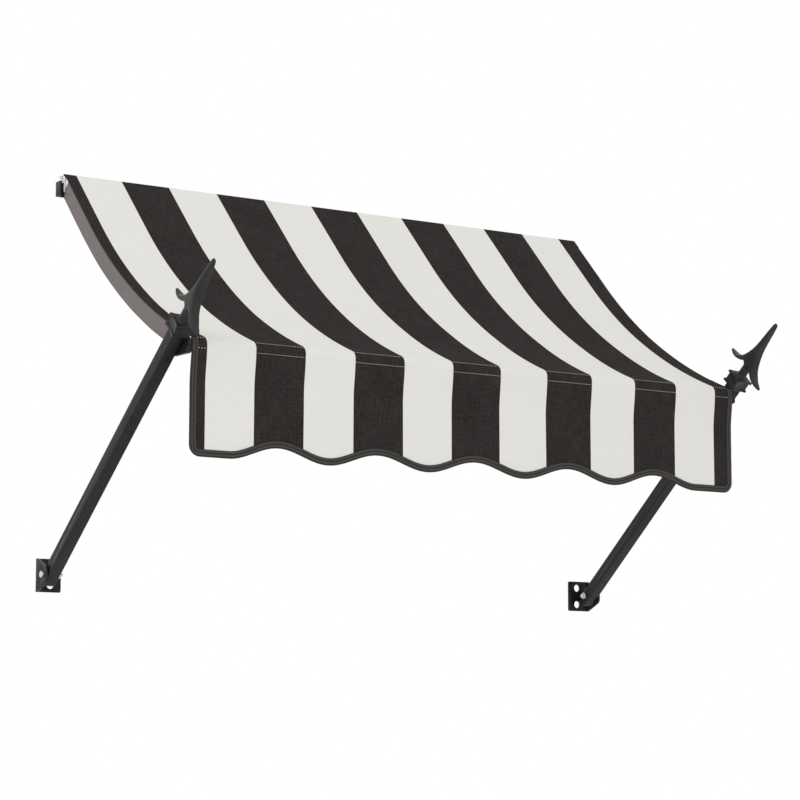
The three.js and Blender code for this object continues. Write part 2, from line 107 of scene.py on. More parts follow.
MIDDLE = (0, -0.25, -0.3)  # of the awning
lamp("left_lamp", (-3.2, -1.6, 0.6), MIDDLE, 2.0, 18)
lamp("front_lamp", (-0.4, -3.6, 1.6), MIDDLE, 2.6, 10)
print("white world and", len(bpy.data.lights), "lamps")

# %% [markdown]
# ## Small tools for materials
# Every finish is a Principled shader with a few procedural nodes. `node` makes one node and fills
# its inputs: a value is set, a socket is linked. That keeps each material short enough to read.


# %% Material tools
def node(tree, kind, inputs=None, **settings):
    made = tree.nodes.new(kind)
    for key, value in settings.items():
        setattr(made, key, value)
    for key, value in (inputs or {}).items():
        if isinstance(value, bpy.types.NodeSocket):
            tree.links.new(value, made.inputs[key])
        else:
            made.inputs[key].default_value = value
    return made


def calc(tree, operation, a, b=0.0, c=0.0):
    return node(tree, "ShaderNodeMath", {0: a, 1: b, 2: c}, operation=operation).outputs[0]


def spread(tree, value, low, high, to_low, to_high):
    limits = {"Value": value, "From Min": low, "From Max": high, "To Min": to_low, "To Max": to_high}
    return node(tree, "ShaderNodeMapRange", limits).outputs["Result"]


def blend_colour(tree, share, first, second):
    mix = node(tree, "ShaderNodeMix", {"Factor": share}, data_type="RGBA")
    for socket, value in ((mix.inputs[6], first), (mix.inputs[7], second)):
        if isinstance(value, bpy.types.NodeSocket):
            tree.links.new(value, socket)
        else:
            socket.default_value = (*value, 1)
    return mix.outputs[2]


def grain(tree, where, scale, detail=2.0, stretch=(1, 1, 1)):
    moved = node(tree, "ShaderNodeMapping", {"Vector": where, "Scale": stretch}).outputs[0]
    return node(tree, "ShaderNodeTexNoise", {"Vector": moved, "Scale": scale, "Detail": detail}).outputs[0]


def new_material(name, roughness, metallic=0.0, **extra):
    material = bpy.data.materials.new(name)
    material.use_nodes = True
    tree = material.node_tree
    shader = tree.nodes["Principled BSDF"]
    shader.inputs["Roughness"].default_value = roughness
    shader.inputs["Metallic"].default_value = metallic
    for key, value in extra.items():
        shader.inputs[key.replace("_", " ")].default_value = value
    return material, tree, shader


def bump(tree, shader, height, distance, strength=1.0):
    raised = node(tree, "ShaderNodeBump", {"Height": height, "Distance": distance, "Strength": strength})
    tree.links.new(raised.outputs[0], shader.inputs["Normal"])


# %% [markdown]
# ## The floor
# It only has to be plain and pale. It lies well below the awning, and it throws a little light
# up under the canopy.

# %% Floor
FLOOR_AT = -1.25
FLOOR_HALF = 9

floor_material, tree, shader = new_material("pale_floor", 0.9)
where = node(tree, "ShaderNodeTexCoord").outputs["Object"]
tint = blend_colour(tree, grain(tree, where, 3.0), (0.90, 0.90, 0.90), (0.93, 0.93, 0.93))
tree.links.new(tint, shader.inputs["Base Color"])

floor_mesh = bpy.data.meshes.new("floor")
floor_mesh.from_pydata(
    [(x * FLOOR_HALF, y * FLOOR_HALF, FLOOR_AT) for x, y in ((-1, -1), (1, -1), (1, 1), (-1, 1))],
    [], [(0, 1, 2, 3)])
floor_mesh.materials.append(floor_material)
floor = bpy.data.objects.new("floor", floor_mesh)
bpy.context.collection.objects.link(floor)
print("floor", -FLOOR_AT, "m below the rail")

# %% [markdown]
# ## Cloth finishes
# Awning canvas is a plain weave of dyed yarn. Two crossed families of rounded threads, one over
# the other in turn, make its bump. The cloth's own flat coordinates (the UV map, in metres) carry
# the pattern, so that threads follow the cloth down the hollow slope and over the bar.
# The yarn is never quite even: faint streaks run with the warp and the weft, and a soft
# cloudiness lies over both colours. Gloss is nearly off, because the weave breaks it up.

# %% Canvas
THREAD_PITCH = 0.0007
PALE = (0.715, 0.707, 0.672)
DARK = (0.0278, 0.0242, 0.0231)
# painted sheen: the warm grey of the dark canvas where light falls flat on the side flaps
FLAP_SHEEN_GREY = (0.172, 0.157, 0.149)
FOLD_AT = 0.5075  # where the canopy turns down into its side flaps
# (how fine the noise is across and down the cloth, how much it counts)
UNEVENNESS = (
    ((620, 45, 1), 1.0),  # streaks down the warp
    ((45, 560, 1), 0.9),  # streaks along the weft
    ((480, 420, 1), 1.1),  # single fuller yarns
    ((14, 14, 1), 0.4),  # clouds
)


def weave(tree, u, v):
    across = calc(tree, "SINE", calc(tree, "MULTIPLY", u, math.pi / THREAD_PITCH))
    along = calc(tree, "SINE", calc(tree, "MULTIPLY", v, math.pi / THREAD_PITCH))
    over = calc(tree, "GREATER_THAN", calc(tree, "MULTIPLY", across, along), 0.0)
    warp = calc(tree, "MULTIPLY", calc(tree, "ABSOLUTE", across), over)
    weft = calc(tree, "MULTIPLY", calc(tree, "ABSOLUTE", along), calc(tree, "SUBTRACT", 1.0, over))
    return calc(tree, "ADD", warp, weft)


def canvas(name, colour, streaks, sheen):
    material, tree, shader = new_material(name, 0.9, Sheen_Weight=sheen, Sheen_Roughness=0.5)
    shader.inputs["Specular IOR Level"].default_value = 0.03
    flat = node(tree, "ShaderNodeUVMap", uv_map="UVMap").outputs[0]
    split = node(tree, "ShaderNodeSeparateXYZ", {0: flat})
    u, v = split.outputs[0], split.outputs[1]
    threads = weave(tree, u, v)
    shade = calc(tree, "MULTIPLY", calc(tree, "SUBTRACT", threads, 0.5), 0.5)
    for stretch, weight in UNEVENNESS:
        part = spread(tree, grain(tree, flat, 1.0, 2.0, stretch), 0.3, 0.7, -0.5, 0.5)
        shade = calc(tree, "MULTIPLY_ADD", part, weight, shade)
    light = tuple(c * (1 + streaks) for c in colour)
    deep = tuple(c * (1 - streaks) for c in colour)
    tint = blend_colour(tree, spread(tree, shade, -1.0, 1.0, 0.0, 1.0), deep, light)
    tree.links.new(tint, shader.inputs["Base Color"])
    bump(tree, shader, threads, 0.00012, 0.7)
    return material, tree, shader, u, tint


pale_canvas = canvas("pale_canvas", PALE, 0.02, 0.02)[0]
dark_canvas = canvas("dark_canvas", DARK, 0.50, 0.0)[0]
print("canvas in", pale_canvas.name, "and", dark_canvas.name)

# %% [markdown]
# The side flaps are the same canvas, turned down past the fold. Light falls on them flat and
# brings out their fuzz, which reads as a warm grey. That grey is a painted sheen in their colour.
# The change happens within the fold itself, so the tint follows the cloth's own width.

# %% Canvas of the side flaps
flap_canvas, tree, shader, u, tint = canvas("flap_canvas", FLAP_SHEEN_GREY, 0.12, 0.05)
# past the fold the colour turns from the dark canvas to the painted sheen
painted_sheen_past_fold = spread(tree, calc(tree, "ABSOLUTE", u), FOLD_AT, FOLD_AT + 0.004, 0.0, 1.0)
tree.links.new(blend_colour(tree, painted_sheen_past_fold, DARK, tint), shader.inputs["Base Color"])
print("flaps turn warm grey past", FOLD_AT, "m from the middle")

# %% [markdown]
# Braid is woven narrow and ribbed: its yarns run slantwise over two padded ribs. Their crests get a
# painted highlight, a lighter colour where light catches them. Its UV map runs across the braid in
# U (0 to 1, all the way round) and along it in V, in metres.

# %% Braid
BRAID_PITCH = 0.0011
BRAID_SLANT = 10 * BRAID_PITCH  # how far a yarn moves on in one turn; whole pitches, so it has no seam
BRAID_DEEP = (0.017, 0.0165, 0.014)
BRAID_LIGHT = (0.036, 0.035, 0.030)
# painted highlight on the braid's rib crests
BRAID_CREST_HIGHLIGHT = (0.078, 0.074, 0.064)

braid, tree, shader = new_material(
    "braid", 0.8, Sheen_Weight=0.04, Sheen_Roughness=0.4, Specular_IOR_Level=0.15)
flat = node(tree, "ShaderNodeUVMap", uv_map="UVMap").outputs[0]
split = node(tree, "ShaderNodeSeparateXYZ", {0: flat})
slant = calc(tree, "MULTIPLY_ADD", split.outputs[0], BRAID_SLANT, split.outputs[1])
cord_lines = calc(tree, "SINE", calc(tree, "MULTIPLY", slant, 2 * math.pi / BRAID_PITCH))
crest = node(tree, "ShaderNodeAttribute", attribute_name="crest").outputs["Fac"]
fuzz = grain(tree, flat, 1.0, 2.0, (60, 900, 1))
# painted highlight: lighter colour on the rib crests, a little uneven along the braid
lift = calc(tree, "MULTIPLY", crest, spread(tree, fuzz, 0.35, 0.65, 0.55, 1.0))
body_tint = blend_colour(tree, spread(tree, cord_lines, -1, 1, 0, 1), BRAID_DEEP, BRAID_LIGHT)
tree.links.new(blend_colour(tree, lift, body_tint, BRAID_CREST_HIGHLIGHT), shader.inputs["Base Color"])
bump(tree, shader, cord_lines, 0.00012, 0.8)
print("braid of yarns", BRAID_PITCH, "m apart")

# %% [markdown]
# Sewing thread is twisted from finer yarns. At this size only a little unevenness along it shows,
# so a stretched noise tints and roughens it. Pale thread sews the canopy, dark thread its braid.


# %% Thread

def thread_material(name, colour):
    material, tree, shader = new_material(name, 0.7)
    where = node(tree, "ShaderNodeTexCoord").outputs["Object"]
    twist = grain(tree, where, 1.0, 1.0, (2400, 900, 900))
    tint = blend_colour(tree, twist, tuple(c * 0.8 for c in colour), colour)
    tree.links.new(tint, shader.inputs["Base Color"])
    bump(tree, shader, twist, 0.0001, 0.6)
    return material


pale_thread = thread_material("pale_thread", (0.80, 0.79, 0.76))
dark_thread = thread_material("dark_thread", (0.05, 0.048, 0.042))
print("thread in", pale_thread.name, "and", dark_thread.name)

# %% [markdown]
# ## Metal finishes
# The arms and brackets are powder coated: a satin black skin with a fine orange peel. The collars
# and finials are castings under the same coat, so their skin is coarser and a little greyer.
# The head rail, rafters and bar are drawn aluminium with fine lines along their length. Bolts
# and nuts are zinc plated.


# %% Coated and bare metal
def coated(name, dark, light, peel_scale, peel_depth):
    material, tree, shader = new_material(name, 0.35, Specular_IOR_Level=0.2)
    where = node(tree, "ShaderNodeTexCoord").outputs["Object"]
    clouds = grain(tree, where, 35.0, 3.0)
    tint = blend_colour(tree, spread(tree, clouds, 0.3, 0.7, 0, 1), dark, light)
    tree.links.new(tint, shader.inputs["Base Color"])
    patches = grain(tree, where, 90.0, 3.0)
    tree.links.new(spread(tree, patches, 0.3, 0.7, 0.27, 0.42), shader.inputs["Roughness"])
    bump(tree, shader, grain(tree, where, peel_scale, 2.0), peel_depth, 0.6)
    return material


def bare(name, colour, roughness, stretch, depth):
    material, tree, shader = new_material(name, roughness, 1.0)
    where = node(tree, "ShaderNodeTexCoord").outputs["Object"]
    lines = grain(tree, where, 1.0, 3.0, stretch)
    tint = blend_colour(tree, spread(tree, lines, 0.3, 0.7, 0, 1), tuple(c * 0.88 for c in colour), colour)
    tree.links.new(tint, shader.inputs["Base Color"])
    dulled = spread(tree, lines, 0.3, 0.7, roughness - 0.06, roughness + 0.08)
    tree.links.new(dulled, shader.inputs["Roughness"])
    bump(tree, shader, lines, depth, 0.5)
    return material


black_coat = coated("black_powder_coat", (0.009, 0.009, 0.009), (0.014, 0.014, 0.014), 700.0, 0.00008)
cast_coat = coated("black_cast_coat", (0.015, 0.015, 0.0148), (0.026, 0.026, 0.0255), 320.0, 0.00025)
drawn_aluminium = bare("drawn_aluminium", (0.86, 0.87, 0.88), 0.38, (12, 1800, 1800), 0.00001)
zinc_plate = bare("zinc_plate", (0.66, 0.67, 0.69), 0.32, (260, 260, 260), 0.00006)
print("metal in", *(m.name for m in (black_coat, cast_coat, drawn_aluminium, zinc_plate)))

# %% [markdown]
# ## Making and placing pieces
# Each piece is a mesh whose vertices already stand in the awning's frame, so its object stays at
# the origin. `finish_piece` makes the object, says which body carries it and which CAD nodes it
# stands for.


# %% Piece tools
def finish_piece(name, mesh, body, replaces=()):
    piece = bpy.data.objects.new(name, mesh)
    bpy.context.collection.objects.link(piece)
    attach(piece, body)
    if replaces:
        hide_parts(*replaces)
    return piece


def mesh_of(name, points, faces, materials, smooth=True):
    mesh = bpy.data.meshes.new(name)
    mesh.from_pydata([tuple(p) for p in points], [], faces)
    for material in materials:
        mesh.materials.append(material)
    if smooth:
        mesh.shade_smooth()
    return mesh


def set_uv(mesh, per_vertex):
    layer = mesh.uv_layers.new(name="UVMap")
    corners = np.array([per_vertex[loop.vertex_index] for loop in mesh.loops], dtype=np.float32)
    layer.data.foreach_set("uv", corners.ravel())


# %% [markdown]
# ## The cloth's own line
# Seen from the side, the canopy is a straight slope, a long hollow, a tight turn over the front
# bar and a hanging valance. The CAD solid follows the same line. Here it is drawn finer, and each
# point also carries the cloth's direction and its distance down the cloth, for the UV map.

# %% Side view of the cloth
TOP = (0.0095, 0.0062)  # (out, up) where the cloth comes up out of the rail
TOP_R = 0.008  # its turn over the rail
SLOPE_TOP, SLOPE_LOW = 46.6, 21.3  # degrees below level
STRAIGHT = 0.128
SAG_RADIUS = 0.890
SHOULDER_R = 0.014
FRONT_OUT = 0.437
BAR_OUT = FRONT_OUT - SHOULDER_R
VALANCE_BACK = 0.005
EASE = 0.060  # the valance settles behind the foremost line within this height
ROW = 0.006  # spacing of the rows of cloth
RAIL_STEPS, BAR_STEPS = 6, 12  # rows in its turns over the rail and over the bar


def slope_moves():
    """[(length, turn in degrees)]: over the rail, down the straight part and through the hollow."""
    straight_steps = round(STRAIGHT / ROW)
    sag_steps = round(SAG_RADIUS * math.radians(SLOPE_TOP - SLOPE_LOW) / ROW)
    rail_turn, sag_turn = SLOPE_TOP / RAIL_STEPS, (SLOPE_LOW - SLOPE_TOP) / sag_steps
    moves = [(TOP_R * math.radians(rail_turn), rail_turn)] * RAIL_STEPS
    moves += [(STRAIGHT / straight_steps, 0.0)] * straight_steps
    moves += [(SAG_RADIUS * math.radians(-sag_turn), sag_turn)] * sag_steps
    return moves


def slope_line():
    """[(out, up, direction, distance down)] from the rail to the valance, and the bar's height."""
    out, up, down = TOP[0], TOP[1], 0.0
    line, degrees = [], 0.0
    for length, turn in slope_moves():
        middle = math.radians(degrees + turn / 2)
        out, up, down = out + length * math.cos(middle), up - length * math.sin(middle), down + length
        degrees += turn
        line.append((out, up, math.radians(degrees), down))
    low = math.radians(SLOPE_LOW)
    run = (BAR_OUT + SHOULDER_R * math.sin(low) - out) / math.cos(low)
    bar_up = up - run * math.sin(low) - SHOULDER_R * math.cos(low)
    down += run
    for i in range(BAR_STEPS + 1):
        angle = low + (math.pi / 2 - low) * i / BAR_STEPS
        out, up = BAR_OUT + SHOULDER_R * math.sin(angle), bar_up + SHOULDER_R * math.cos(angle)
        line.append((out, up, angle, down))
        down += SHOULDER_R * (math.pi / 2 - low) / BAR_STEPS
    return line, bar_up


SLOPE, BAR_UP = slope_line()
print("front bar at", round(BAR_UP, 4), "and", round(SLOPE[-1][3], 4), "m down the cloth")


def hang(up):
    """(out, direction) of the cloth's outer face at a height on the turn or on the valance."""
    if up > BAR_UP:
        over = min((up - BAR_UP) / SHOULDER_R, 1.0)
        return BAR_OUT + SHOULDER_R * math.sqrt(1 - over * over), math.acos(over)
    t = min((BAR_UP - up) / EASE, 1.0)
    lean = math.atan(VALANCE_BACK * 6 * t * (1 - t) / EASE)
    return FRONT_OUT - VALANCE_BACK * t * t * (3 - 2 * t), math.radians(90) + lean


# %% [markdown]
# ## Stripes and waves
# Eleven full stripes lie between two narrow dark edges. The stripes are a little wider in the
# middle, where the cloth is stretched most, and the whole pattern sits six millimetres off centre.
# The valance is cut in waves that are lowest in the middle of a pale stripe and highest in the
# middle of a dark one. It has a flat foot at both ends and rounded corners.

# %% Stripe edges and the foot of the valance
HALF = 0.508
STRIPES = 11
VALANCE_LOW = -0.4818
WAVE_RISE = 0.020
CORNER = 0.016
OFF_CENTRE = -0.006
STRIPE_SPREAD, EDGE_SQUEEZE = 0.495, 0.017  # the outer stripes are squeezed


def stripe_edge(i):
    t = 2 * i / STRIPES - 1
    return OFF_CENTRE + STRIPE_SPREAD * t - EDGE_SQUEEZE * t**3


wave_steps = np.linspace(0.5, STRIPES - 0.5, 241)
wave_x = np.array([stripe_edge(i) for i in wave_steps])
wave_up = VALANCE_LOW + WAVE_RISE * (1 - np.cos(np.pi * (wave_steps - 0.5))) / 2


def foot(x):
    low = float(np.interp(x, wave_x, wave_up))
    past = abs(x) - (HALF - CORNER)
    if past > 0:
        low += CORNER - math.sqrt(max(CORNER**2 - past**2, 0.0))
    return low


print("stripes", *(round(1000 * (stripe_edge(i + 1) - stripe_edge(i))) for i in range(STRIPES)), "mm")

# %% [markdown]
# Real cloth is never a perfect surface. The free valance ripples a little, more toward its foot.
# The stretched slope only swells faintly between its fixed edges. Both are a smooth noise that
# moves the cloth along its own normal, and what is sewn to the valance moves with it.
# The slope is also sewn and stretched by hand, so its stripes run a few millimetres off straight.

# %% Ripples and pull
SWAY, SWAY_HEIGHT = 0.0022, 0.16  # the ripple is full this far below the bar
SWELL = 0.0012
PULL = 0.005
PULL_END, PULL_FADE = 0.025, 0.14  # it ends this far before the bar and fades over this length
PULL_WAVE, PULL_SHIFT = 2.6, 0.33  # how it varies across the cloth
PINNED = 24  # the higher this power, the nearer to its side edges the cloth is held


def sway(x, up):
    """How far the free valance stands out of its plane."""
    share = min(max((BAR_UP - up) / SWAY_HEIGHT, 0.0), 1.0)
    return share * SWAY * noise.noise(Vector((x * 6.5, 3.1, up * 3.0)))


def slack(x, down):
    """How far the slope swells at a distance down it."""
    share = math.sin(math.pi * min(max(down / SLOPE[-1][3], 0.0), 1.0))
    return share * SWELL * noise.noise(Vector((x * 4.0, 7.7, down * 5.0)))


def askew(x, before_bar):
    """Sideways pull in the slope, at a distance before the bar."""
    share = min(max((before_bar - PULL_END) / PULL_FADE, 0.0), 1.0)
    return PULL * share * math.sin(PULL_WAVE * (x / HALF + PULL_SHIFT)) * (1 - abs(x / HALF) ** PINNED)


print("pull at the rail", [round(1000 * askew(x, 1.0), 1) for x in (-0.4, -0.2, 0.0, 0.2, 0.4)], "mm")

# %% [markdown]
# ## The canopy
# It is one sheet from the rail's groove to the foot of the valance, flaps included, so it is one
# grid of faces. Its columns fall exactly on the stripe edges, which keeps them sharp without a
# painted mask. Near both sides they lie closer together, so that they follow the rounded corners.
# Past the fold the columns turn down into the flaps.

# %% Columns of the canopy
FOLD_R = 0.0016
FLAP = 0.0275
FLAP_END = 0.392  # the flaps end this far from the wall
PER_STRIPE = 13
CORNER_TURNS = (0, 9, 18, 27, 36, 45, 54, 62, 68)  # degrees round a corner
FLAP_TURNS = (22, 45, 68, 90)  # degrees round the fold
FLAP_STEPS = 6
TOO_NEAR = 0.0005


def main_columns():
    inner = HALF - FOLD_R
    xs = []
    for i in range(STRIPES):
        a, b = stripe_edge(i), stripe_edge(i + 1)
        xs += [a + (b - a) * k / PER_STRIPE for k in range(PER_STRIPE)]
    xs.append(stripe_edge(STRIPES))
    turns = [HALF - CORNER + CORNER * math.sin(math.radians(a)) for a in CORNER_TURNS]
    left = [-x for x in turns if -x < xs[0] - TOO_NEAR]
    right = [x for x in turns if x > xs[-1] + TOO_NEAR]
    right = [xs[-1] + (right[0] - xs[-1]) / 2] + right
    left = sorted(x for x in left if x > -inner + TOO_NEAR)
    right = [x for x in right if x < inner - TOO_NEAR]
    return [-inner] + left + xs + right + [inner]


def flap_columns():
    """[(past the canopy's side, depth below it)]: round the fold, then down the flap."""
    turns = [math.radians(a) for a in FLAP_TURNS]
    fold = [(FOLD_R * math.sin(a) - FOLD_R, FOLD_R * (1 - math.cos(a))) for a in turns]
    return fold + [(0.0, FOLD_R + (FLAP - FOLD_R) * k / FLAP_STEPS) for k in range(1, FLAP_STEPS + 1)]


COLUMNS = main_columns()
FLAP_COLUMNS = flap_columns()
SIDES = ((-1, 0), (1, len(COLUMNS) - 1))  # each side with its last column
WIDE = [(-HALF, "wide_left")] + [(x, k) for k, x in enumerate(COLUMNS)] + [(HALF, "wide_right")]
print(len(COLUMNS), "columns across the canopy and", len(FLAP_COLUMNS), "down each flap")

# %% [markdown]
# The rows begin with the hem, which stands on end in the rail's groove, and go on with the slope.
# `place` adds one vertex and remembers it by its row and column, so that faces are easy to make
# later. Where a row ends in a fold, its flap is added. The flaps begin at a slanting back edge
# near the wall, and end a little before the bar.

# %% Rows from the rail to the bar
HEM = [(TOP[0], 0.0022, math.radians(-90)), (TOP[0], 0.0040, math.radians(-90)),
       (TOP[0], 0.0055, math.radians(-80)), (TOP[0] + 0.0003, 0.0060, math.radians(-40))]
FLAP_CUT, FLAP_CUT_LEAN = 0.0276, 0.49  # the flaps' back edge: where it starts, how it leans
FLAP_FROM = len(HEM) + 7  # their first row at the earliest, past the turn over the rail
LEAST_FLAP = 0.003
FLAP_RIPPLE = 0.0005

points, uvs, grid = [], [], {}


def place(key, out, up, direction, x, u, down, lift=0.0):
    """One vertex, moved along the cloth's outward normal by `lift`."""
    grid[key] = len(points)
    points.append((x, -(out + lift * math.sin(direction)), up + lift * math.cos(direction)))
    uvs.append((u, down))


def flap_depth(out, up, direction):
    """Depth of the flap below a point of the fold, up to its slanting back edge."""
    closing = max(math.sin(direction) - FLAP_CUT_LEAN * math.cos(direction), 0.1)
    to_cut = (out - FLAP_CUT - FLAP_CUT_LEAN * up) / closing
    return min(to_cut, FLAP) if out <= FLAP_END else 0.0


def place_flap(row, side, out, up, direction, down, reach):
    for k, (beyond, depth) in enumerate(FLAP_COLUMNS):
        depth = min(depth, FOLD_R) + max(depth - FOLD_R, 0) * (reach - FOLD_R) / (FLAP - FOLD_R)
        ripple = FLAP_RIPPLE * noise.noise(Vector((side * 9.0, down * 22.0, depth * 60.0)))
        x = side * (HALF + beyond + ripple * depth / FLAP)
        u = side * (HALF - FOLD_R + FOLD_R * 0.4 * min(k + 1, len(FLAP_TURNS)) + depth)
        place((row, side, k), out - depth * math.sin(direction), up - depth * math.cos(direction),
              direction, x, u, down, slack(x, down))


hem_down = [0.0]
for a, b in zip(HEM, HEM[1:] + [SLOPE[0]]):
    hem_down.append(hem_down[-1] + math.hypot(b[0] - a[0], b[1] - a[1]))
rows = [(*spot, down) for spot, down in zip(HEM, hem_down)]
rows += [(out, up, direction, down + hem_down[-1]) for out, up, direction, down in SLOPE]
over_bar = rows[-1][3]

for row, (out, up, direction, down) in enumerate(rows):
    for x, key in WIDE:
        lift = slack(x, down) if row >= len(HEM) else 0.0
        place((row, key), out, up, direction, x + askew(x, over_bar - down), x, down, lift)
    reach = flap_depth(out, up, direction) if row >= FLAP_FROM else 0.0
    if reach > LEAST_FLAP:
        for side in (-1, 1):
            place_flap(row, side, out, up, direction, down, reach)
print(len(rows), "rows, flaps on", sum((row, 1, 0) in grid for row in range(len(rows))), "of them")

# %% [markdown]
# The valance's rows are spread evenly between the bar and its wavy foot, so each column is
# stretched to its own length. A rounded corner runs upright at the very side, so the outermost
# columns take their foot from a hair's breadth further in.

# %% Rows of the valance
VALANCE_ROWS = 26
HAIR = 0.00002

last = len(rows) - 1
for step in range(1, VALANCE_ROWS + 1):
    t = step / VALANCE_ROWS
    for x, key in WIDE:
        reach = foot(x) if abs(x) < HALF else foot(math.copysign(HALF - HAIR, x))
        up = BAR_UP + (reach - BAR_UP) * t
        out, direction = hang(up)
        place((last + step, key), out, up, direction, x, x, over_bar + BAR_UP - up, sway(x, up))
print(len(points), "points")

# %% [markdown]
# Faces join each row to the next. Each face's column says which stripe it lies in, and so which
# canvas it gets. Where there is a flap, the sheet goes round the fold; elsewhere it ends flat.

# %% Faces of the canopy
PALE_FACE, DARK_FACE, FLAP_FACE = 0, 1, 2
faces, kinds = [], []
edges = [stripe_edge(i) for i in range(STRIPES + 1)]


def stripe_of(x):
    i = sum(x > e for e in edges) - 1
    return PALE_FACE if 0 <= i < STRIPES and i % 2 == 0 else DARK_FACE


def add_face(a, b, c, d, kind):
    faces.append(tuple(grid[k] for k in (a, b, c, d)))
    kinds.append(kind)


for row in range(last + VALANCE_ROWS):
    flap_here = (row, -1, 0) in grid and (row + 1, -1, 0) in grid
    chain = WIDE[1:-1] if flap_here else WIDE
    for (xa, a), (xb, b) in zip(chain, chain[1:]):
        add_face((row, a), (row + 1, a), (row + 1, b), (row, b), stripe_of((xa + xb) / 2))
    if not flap_here:
        continue
    for side, end in SIDES:
        keys = [(row, end)] + [(row, side, k) for k in range(len(FLAP_COLUMNS))]
        below = [(row + 1, end)] + [(row + 1, side, k) for k in range(len(FLAP_COLUMNS))]
        for k in range(len(FLAP_COLUMNS)):
            quad = (keys[k], below[k], below[k + 1], keys[k + 1])
            add_face(*(quad if side > 0 else quad[::-1]), FLAP_FACE)
print(len(faces), "faces,", kinds.count(FLAP_FACE), "of them in the flaps")

# %% [markdown]
# In the rows with flaps, the points at the sheet's full width belong to no face and are deleted.
# Solidify then gives the cloth its thickness on the inner side.

# %% The canopy as a piece
CLOTH_T = 0.0009

canopy_mesh = mesh_of("canopy_cloth", points, faces, (pale_canvas, dark_canvas, flap_canvas))
canopy_mesh.polygons.foreach_set("material_index", kinds)
set_uv(canopy_mesh, uvs)
loose = bmesh.new()
loose.from_mesh(canopy_mesh)
bmesh.ops.delete(loose, geom=[v for v in loose.verts if not v.link_faces], context="VERTS")
loose.to_mesh(canopy_mesh)
loose.free()
canopy = finish_piece("canopy_cloth", canopy_mesh, "frame", ["canopy"])
thick = canopy.modifiers.new("cloth_thickness", "SOLIDIFY")
thick.thickness, thick.offset = CLOTH_T, -1

# %% [markdown]
# ## The braid round the valance
# Braid is folded over the valance's edge and sewn through. One cross-section, with two padded
# ribs in front and a flat back, is carried along the valance's outline. The section is given as
# (inward from the cloth's edge, outward from the cloth's face), and it keeps a slot for the cloth.

# %% Outline of the valance
BRAID_TOP = BAR_UP + 0.0085
BRAID_STEP = 0.0035
CORNER_SPOTS, WAVE_SPOTS = 12, 300


def outline_of_valance():
    steps = round((BRAID_TOP - (VALANCE_LOW + CORNER)) / BRAID_STEP)
    side = [(-HALF, BRAID_TOP + (VALANCE_LOW + CORNER - BRAID_TOP) * k / steps) for k in range(steps)]
    corner = [(-HALF + CORNER - CORNER * math.cos(a), VALANCE_LOW + CORNER - CORNER * math.sin(a))
              for a in np.radians(np.linspace(0, 90, CORNER_SPOTS))]
    reach = HALF - CORNER
    waves = [(x, foot(x)) for x in np.linspace(-reach, reach, WAVE_SPOTS)[1:-1]]
    mirrored = [(-x, up) for x, up in reversed(side + corner)]
    return side + corner + waves + mirrored


OUTLINE = outline_of_valance()


def inward_at(k):
    (xa, ua), (xb, ub) = OUTLINE[max(k - 1, 0)], OUTLINE[min(k + 1, len(OUTLINE) - 1)]
    length = math.hypot(xb - xa, ub - ua)
    return -(ub - ua) / length, (xb - xa) / length


def on_valance(k, inward, outward):
    """A point beside the outline's point k, on the cloth's own surface and lifted off it."""
    nx, nu = inward_at(k)
    x, up = OUTLINE[k][0] + inward * nx, OUTLINE[k][1] + inward * nu
    out, direction = hang(up)
    lift = outward + sway(x, up)
    return (x, -(out + lift * math.sin(direction)), up + lift * math.cos(direction))


# %% Section of the braid
# (inward, outward, how near it is to a rib's crest), in millimetres.
BRAID_FRONT = [
    (9.3, 0.05, 0), (9.4, 0.6, 0), (9.0, 1.0, 0), (8.2, 1.3, 0.2),
    (7.3, 1.75, 0.9), (6.6, 1.85, 1), (5.8, 1.65, 0.6), (5.0, 1.15, 0),  # the inner rib
    (4.5, 1.0, 0), (4.0, 1.15, 0),
    (3.2, 1.65, 0.6), (2.4, 1.85, 1), (1.7, 1.75, 0.9), (0.7, 1.4, 0.2),  # the outer rib
]
BRAID_BACK = [
    (-0.5, 1.1, 0), (-1.3, 0.5, 0), (-1.6, -0.45, 0), (-1.3, -1.4, 0), (-0.5, -1.95, 0),  # its edge
    (0.7, -2.2, 0), (3.0, -2.3, 0), (6.5, -2.3, 0), (8.8, -2.1, 0), (9.4, -1.6, 0), (9.3, -1.0, 0),
]
CLOTH_SLOT = [(4.5, -1.0, 0), (0.2, -1.0, 0), (0.2, 0.05, 0), (4.5, 0.05, 0)]
BRAID_SECTION = BRAID_FRONT + BRAID_BACK + CLOTH_SLOT
print("braid section of", len(BRAID_SECTION), "points")

# %% [markdown]
# The section is copied at each point of the outline and joined to the copy before. Each copy
# stands square to the outline and follows the cloth's own surface, ripples and all. The distance
# travelled goes into the UV map, and the nearness to a crest into an attribute of its own, which
# the braid's finish reads.

# %% The braid along the outline
ring = len(BRAID_SECTION)
braid_points, braid_uv, braid_faces, crests = [], [], [], []
travelled = 0.0
for k in range(len(OUTLINE)):
    if k:
        travelled += math.dist(OUTLINE[k], OUTLINE[k - 1])
    for j, (inward, outward, crest_share) in enumerate(BRAID_SECTION):
        braid_points.append(on_valance(k, inward / 1000, outward / 1000))
        braid_uv.append((j / ring, travelled))
        crests.append(crest_share)
    if k:
        a, b = (k - 1) * ring, k * ring
        braid_faces += [(a + j, a + (j + 1) % ring, b + (j + 1) % ring, b + j) for j in range(ring)]
braid_faces += [tuple(range(ring))[::-1], tuple(range(len(braid_points) - ring, len(braid_points)))]

